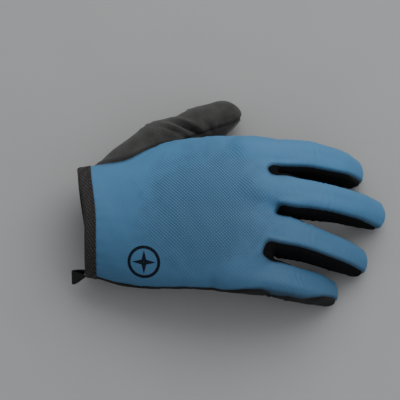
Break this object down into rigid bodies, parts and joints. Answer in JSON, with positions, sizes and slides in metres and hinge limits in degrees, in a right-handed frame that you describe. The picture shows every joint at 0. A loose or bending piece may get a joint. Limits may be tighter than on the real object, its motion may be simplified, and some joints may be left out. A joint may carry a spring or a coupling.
{
  "type": "sailing glove",
  "caption": "Right-hand full-finger sailing glove in its worn shape, with a knit back, suede palm, side strips, bound cuff and bending fingers.",
  "frame": {"origin": "on the surface the glove lies on, palm down, below the middle of the whole glove", "axes": "+X from the cuff towards the fingertips, +Y towards the thumb's side, +Z out of the back of the hand"},
  "size_m": [0.1826, 0.1302, 0.057],
  "materials": {
    "back_knit": "matt perforated knit, blue",
    "side_knit": "matt stretch knit, black",
    "palm_suede": "matt synthetic suede, black",
    "reinforcement_suede": "matt synthetic suede, dark grey",
    "thumb_fleece": "brushed fleece, dark grey",
    "cuff_elastic": "ribbed elastic, black",
    "webbing": "woven webbing, black",
    "print": "satin screen print, black",
    "foam": "closed-cell foam, grey",
    "label": "woven satin label, white",
    "touch_fabric": "conductive knit, grey"
  },
  "bodies": {
    "hand": {"fourchette_index_middle": "side_knit", "fourchette_middle_ring": "side_knit", "fourchette_ring_little": "side_knit", "back_panel": "back_knit", "palm_panel": "palm_suede", "thumb_back_root": "thumb_fleece", "thumb_front_root": "thumb_fleece", "palm_reinforcement": "reinforcement_suede", "cuff_binding": "cuff_elastic", "pull_tab": "webbing", "care_label": "label", "back_motif": "print", "heel_pad_outer": "foam", "heel_pad_thumb": "foam"},
    "index_base": {"index_back_base": "back_knit", "index_sides_base": "side_knit", "index_front_base": "palm_suede"},
    "index_mid": {"index_back_mid": "back_knit", "index_sides_mid": "side_knit", "index_front_mid": "palm_suede"},
    "index_tip": {"index_back_tip": "back_knit", "index_sides_tip": "side_knit", "index_front_tip": "palm_suede", "index_touch_tip": "touch_fabric"},
    "middle_base": {"middle_back_base": "back_knit", "middle_sides_base": "side_knit", "middle_front_base": "palm_suede"},
    "middle_mid": {"middle_back_mid": "back_knit", "middle_sides_mid": "side_knit", "middle_front_mid": "palm_suede"},
    "middle_tip": {"middle_back_tip": "back_knit", "middle_sides_tip": "side_knit", "middle_front_tip": "palm_suede"},
    "ring_base": {"ring_back_base": "back_knit", "ring_sides_base": "side_knit", "ring_front_base": "palm_suede"},
    "ring_mid": {"ring_back_mid": "back_knit", "ring_sides_mid": "side_knit", "ring_front_mid": "palm_suede"},
    "ring_tip": {"ring_back_tip": "back_knit", "ring_sides_tip": "side_knit", "ring_front_tip": "palm_suede"},
    "little_base": {"little_back_base": "back_knit", "little_sides_base": "side_knit", "little_front_base": "palm_suede"},
    "little_mid": {"little_back_mid": "back_knit", "little_sides_mid": "side_knit", "little_front_mid": "palm_suede"},
    "little_tip": {"little_back_tip": "back_knit", "little_sides_tip": "side_knit", "little_front_tip": "palm_suede"},
    "thumb_base": {"thumb_back_base": "thumb_fleece", "thumb_front_base": "thumb_fleece"},
    "thumb_tip": {"thumb_back_tip": "thumb_fleece", "thumb_front_tip": "thumb_fleece", "thumb_touch_tip": "touch_fabric"}
  },
  "joints": [
    {"name": "index_knuckle", "type": "hinge", "parent": "hand", "child": "index_base", "pos_m": [0.03348, 0.01968, 0.04004], "axis": [-0.0314, 0.9995, 0], "range_deg": [-12, 35]},
    {"name": "index_middle_joint", "type": "hinge", "parent": "index_base", "child": "index_mid", "pos_m": [0.04476, 0.02004, 0.03593], "axis": [-0.0314, 0.9995, 0], "range_deg": [-18, 45]},
    {"name": "index_end_joint", "type": "hinge", "parent": "index_mid", "child": "index_tip", "pos_m": [0.0616, 0.02057, 0.02179], "axis": [-0.0314, 0.9995, 0], "range_deg": [-11, 27]},
    {"name": "middle_knuckle", "type": "hinge", "parent": "hand", "child": "middle_base", "pos_m": [0.03665, -0.00516, 0.04318], "axis": [0.0035, 1, 0], "range_deg": [-12, 35]},
    {"name": "middle_middle_joint", "type": "hinge", "parent": "middle_base", "child": "middle_mid", "pos_m": [0.05091, -0.00521, 0.03854], "axis": [0.0035, 1, 0], "range_deg": [-18, 45]},
    {"name": "middle_end_joint", "type": "hinge", "parent": "middle_mid", "child": "middle_tip", "pos_m": [0.07088, -0.00528, 0.02349], "axis": [0.0035, 1, 0], "range_deg": [-11, 27]},
    {"name": "ring_knuckle", "type": "hinge", "parent": "hand", "child": "ring_base", "pos_m": [0.02969, -0.02925, 0.04109], "axis": [0.0993, 0.9951, 0], "range_deg": [-12, 35]},
    {"name": "ring_middle_joint", "type": "hinge", "parent": "ring_base", "child": "ring_mid", "pos_m": [0.04294, -0.03058, 0.03676], "axis": [0.0993, 0.9951, 0], "range_deg": [-18, 45]},
    {"name": "ring_end_joint", "type": "hinge", "parent": "ring_mid", "child": "ring_tip", "pos_m": [0.06176, -0.03245, 0.02199], "axis": [0.0993, 0.9951, 0], "range_deg": [-11, 27]},
    {"name": "little_knuckle", "type": "hinge", "parent": "hand", "child": "little_base", "pos_m": [0.02344, -0.05352, 0.0372], "axis": [0.0262, 0.9997, 0], "range_deg": [-12, 35]},
    {"name": "little_middle_joint", "type": "hinge", "parent": "little_base", "child": "little_mid", "pos_m": [0.03356, -0.05378, 0.0329], "axis": [0.0262, 0.9997, 0], "range_deg": [-18, 45]},
    {"name": "little_end_joint", "type": "hinge", "parent": "little_mid", "child": "little_tip", "pos_m": [0.04709, -0.05414, 0.02028], "axis": [0.0262, 0.9997, 0], "range_deg": [-11, 27]},
    {"name": "thumb_knuckle", "type": "hinge", "parent": "hand", "child": "thumb_base", "pos_m": [-0.04146, 0.03426, 0.0228], "axis": [-0.503, 0.5533, -0.664], "range_deg": [-10, 20]},
    {"name": "thumb_joint", "type": "hinge", "parent": "thumb_base", "child": "thumb_tip", "pos_m": [-0.02044, 0.04655, 0.01712], "axis": [-0.503, 0.5533, -0.664], "range_deg": [-12, 35]}
  ],
  "couplings": [
    {"joint": "index_end_joint", "follows": "index_middle_joint", "ratio": 0.6},
    {"joint": "middle_end_joint", "follows": "middle_middle_joint", "ratio": 0.6},
    {"joint": "ring_end_joint", "follows": "ring_middle_joint", "ratio": 0.6},
    {"joint": "little_end_joint", "follows": "little_middle_joint", "ratio": 0.6}
  ]
}
